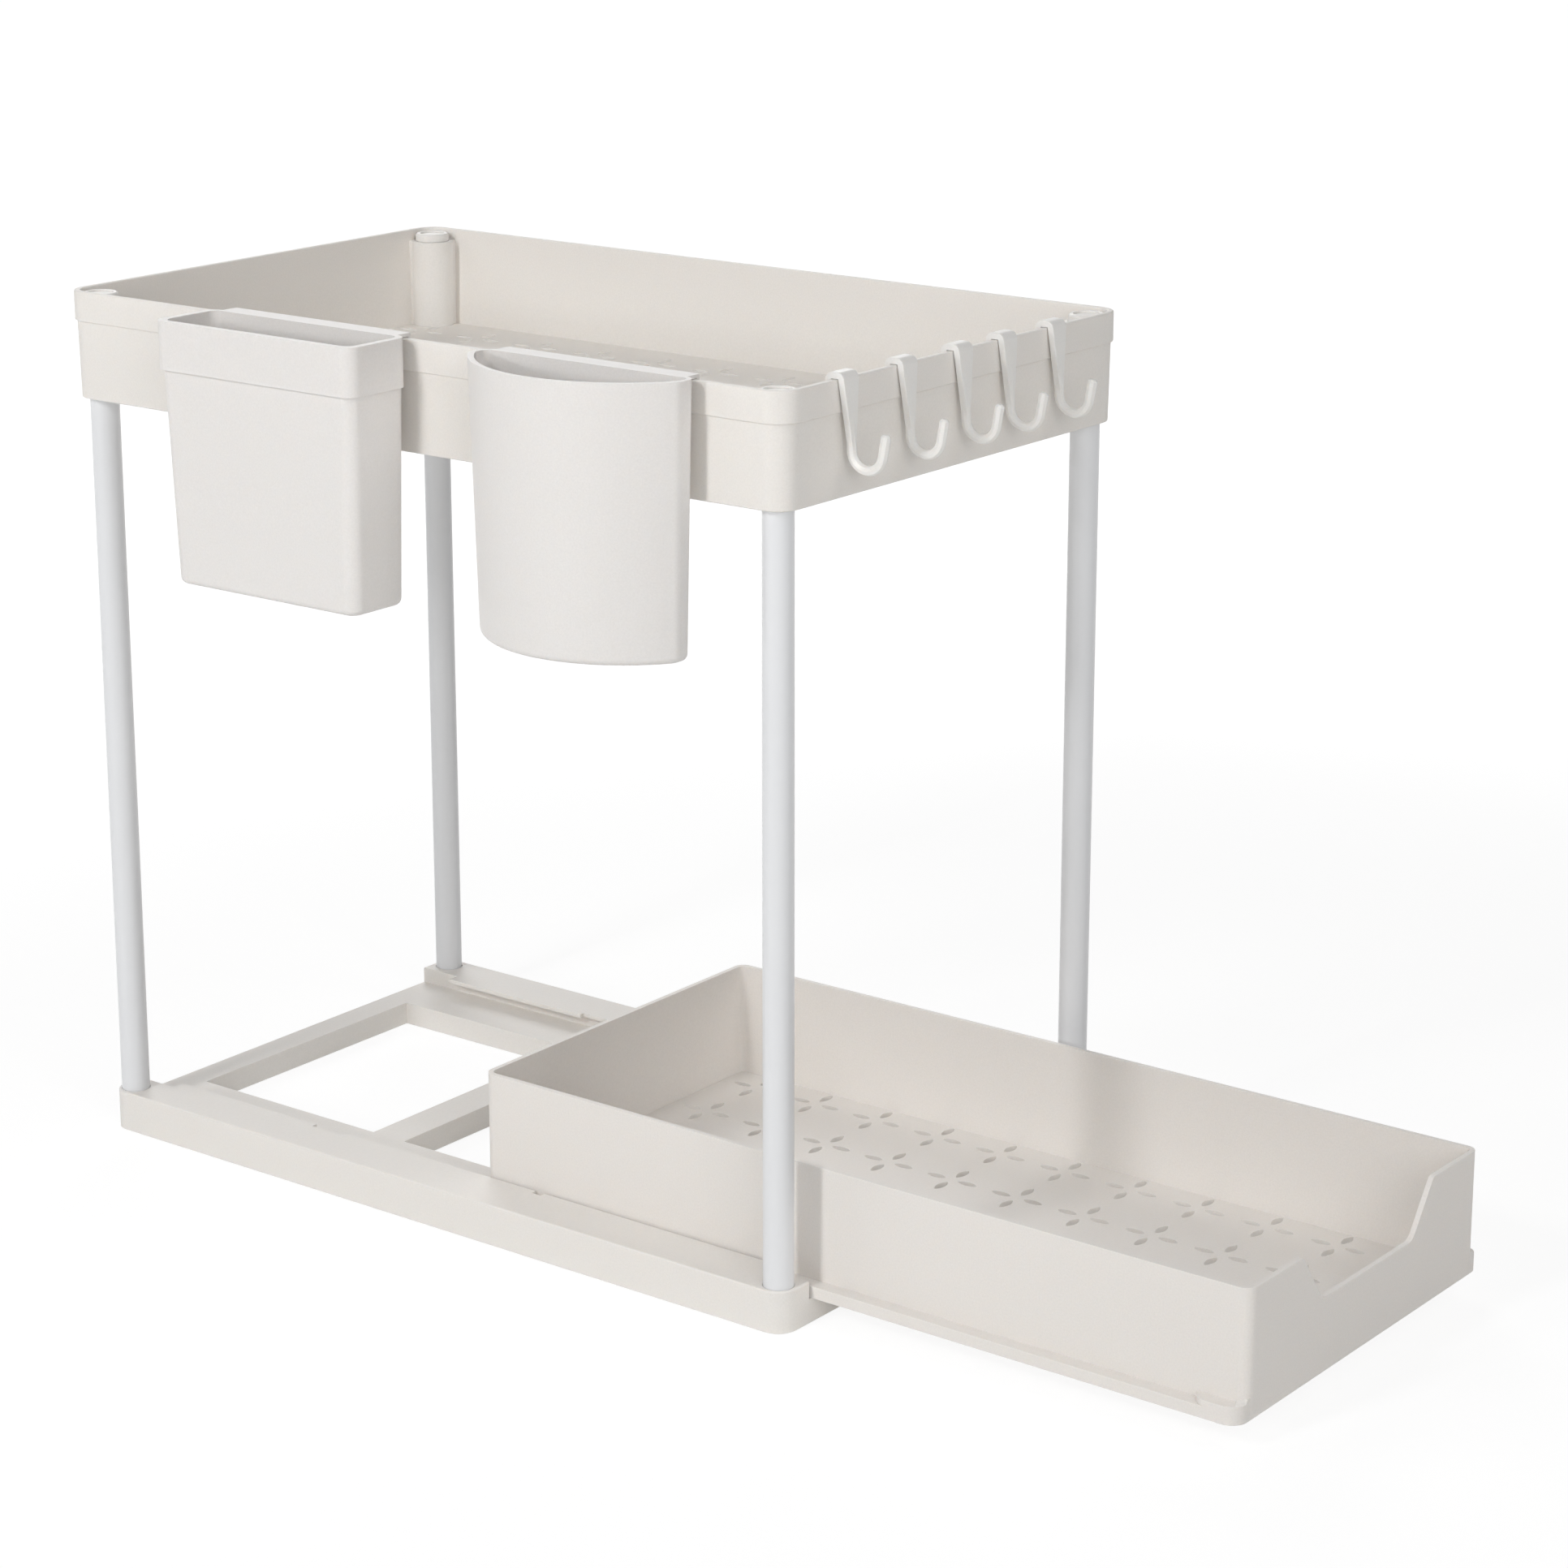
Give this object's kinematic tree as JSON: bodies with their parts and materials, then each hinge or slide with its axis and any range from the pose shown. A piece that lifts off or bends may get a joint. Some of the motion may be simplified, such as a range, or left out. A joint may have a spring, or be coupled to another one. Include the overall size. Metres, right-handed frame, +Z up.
{
  "type": "under sink organizer",
  "caption": "Free-standing two-tier under-sink organizer: moulded base with a sliding open drawer, steel posts, top tray, hang-on cups and hang-on hooks.",
  "frame": {"origin": "on the floor, at the middle of the underside of the base frame's front cross bar", "axes": "+Z up; -Y towards the front, the way the drawer pulls out; +X to the right seen from the front, so the cups hang on the -X side"},
  "size_m": [0.273, 0.5807, 0.3828],
  "materials": {
    "frame_plastic": "fine matte off-white moulded plastic",
    "drawer_plastic": "fine matte off-white moulded plastic",
    "cup_plastic": "fine matte off-white moulded plastic",
    "hook_plastic": "smooth satin white moulded plastic",
    "cap_plastic": "fine matte off-white moulded plastic",
    "post_steel": "steel tube with a smooth satin white coating"
  },
  "bodies": {
    "frame": {"base_frame": "frame_plastic", "post_front_left": "post_steel", "post_front_right": "post_steel", "post_rear_left": "post_steel", "post_rear_right": "post_steel", "top_tray": "frame_plastic", "post_cap_front_left": "cap_plastic", "post_cap_front_right": "cap_plastic", "post_cap_rear_left": "cap_plastic", "post_cap_rear_right": "cap_plastic"},
    "drawer": {"drawer": "drawer_plastic"},
    "rectangular_cup": {"rectangular_cup": "cup_plastic"},
    "half_round_cup": {"half_round_cup": "cup_plastic"},
    "hook_1": {"hook_1": "hook_plastic"},
    "hook_2": {"hook_2": "hook_plastic"},
    "hook_3": {"hook_3": "hook_plastic"},
    "hook_4": {"hook_4": "hook_plastic"},
    "hook_5": {"hook_5": "hook_plastic"}
  },
  "joints": [
    {"name": "drawer_slide", "type": "slide", "parent": "frame", "child": "drawer", "axis": [0, -1, 0], "range_m": [-0.1977, 0]},
    {"name": "rectangular_cup_lift", "type": "slide", "parent": "frame", "child": "rectangular_cup", "axis": [0, 0, 1], "range_m": [0, 0.04]},
    {"name": "half_round_cup_lift", "type": "slide", "parent": "frame", "child": "half_round_cup", "axis": [0, 0, 1], "range_m": [0, 0.04]},
    {"name": "hook_1_lift", "type": "slide", "parent": "frame", "child": "hook_1", "axis": [0, 0, 1], "range_m": [0, 0.03]},
    {"name": "hook_2_lift", "type": "slide", "parent": "frame", "child": "hook_2", "axis": [0, 0, 1], "range_m": [0, 0.03]},
    {"name": "hook_3_lift", "type": "slide", "parent": "frame", "child": "hook_3", "axis": [0, 0, 1], "range_m": [0, 0.03]},
    {"name": "hook_4_lift", "type": "slide", "parent": "frame", "child": "hook_4", "axis": [0, 0, 1], "range_m": [0, 0.03]},
    {"name": "hook_5_lift", "type": "slide", "parent": "frame", "child": "hook_5", "axis": [0, 0, 1], "range_m": [0, 0.03]}
  ]
}
